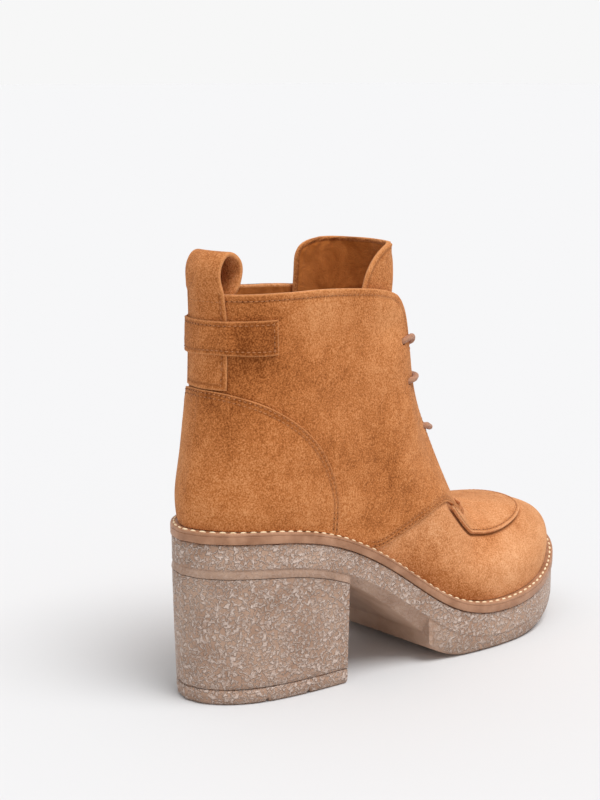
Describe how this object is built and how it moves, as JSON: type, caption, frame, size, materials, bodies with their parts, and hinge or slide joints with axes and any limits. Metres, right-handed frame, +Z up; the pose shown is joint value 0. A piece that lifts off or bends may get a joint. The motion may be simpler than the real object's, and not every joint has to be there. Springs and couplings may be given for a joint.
{
  "type": "lace up ankle boot",
  "caption": "Right lace up ankle boot, suede upper with apron toe, platform sole, block heel, back pull loop and inside zip.",
  "frame": {"origin": "floor level, at the centre of the sole outline's length and width", "axes": "+X to the toe, +Y to the medial side, +Z up"},
  "size_m": [0.2468, 0.0927, 0.205],
  "materials": {
    "suede": "brushed suede, mid tan",
    "suede_light": "brushed suede, light tan",
    "welt_rubber": "matt, stitched, brown",
    "crepe": "pale crepe, fine ripples",
    "insole_leather": "smooth, pale tan",
    "cord": "woven round lace",
    "zip_fabric": "woven zip tape and coil, navy",
    "zip_metal": "plated, antique"
  },
  "bodies": {
    "boot": {"apron": "suede_light", "back_strip": "suede", "counter": "suede", "heel_band": "suede", "heel_block": "crepe", "insole": "insole_leather", "lace_bar_high": "cord", "lace_bar_low": "cord", "lace_bar_mid": "cord", "outsole": "crepe", "pull_loop": "suede", "quarter_lateral": "suede", "quarter_medial_back": "suede", "quarter_medial_front": "suede", "tongue": "suede", "top_lift": "crepe", "upper": "suede", "welt": "welt_rubber", "zip_chain": "zip_fabric", "zip_slider": "zip_metal", "zip_tape": "zip_fabric"},
    "zip_pull": {"zip_pull": "zip_metal"}
  },
  "joints": [
    {"name": "zip_pull_swing", "type": "hinge", "parent": "boot", "child": "zip_pull", "pos_m": [-0.05471, 0.03451, 0.1745], "axis": [0.9999, -0.0151, 0], "range_deg": [0, 150]}
  ]
}
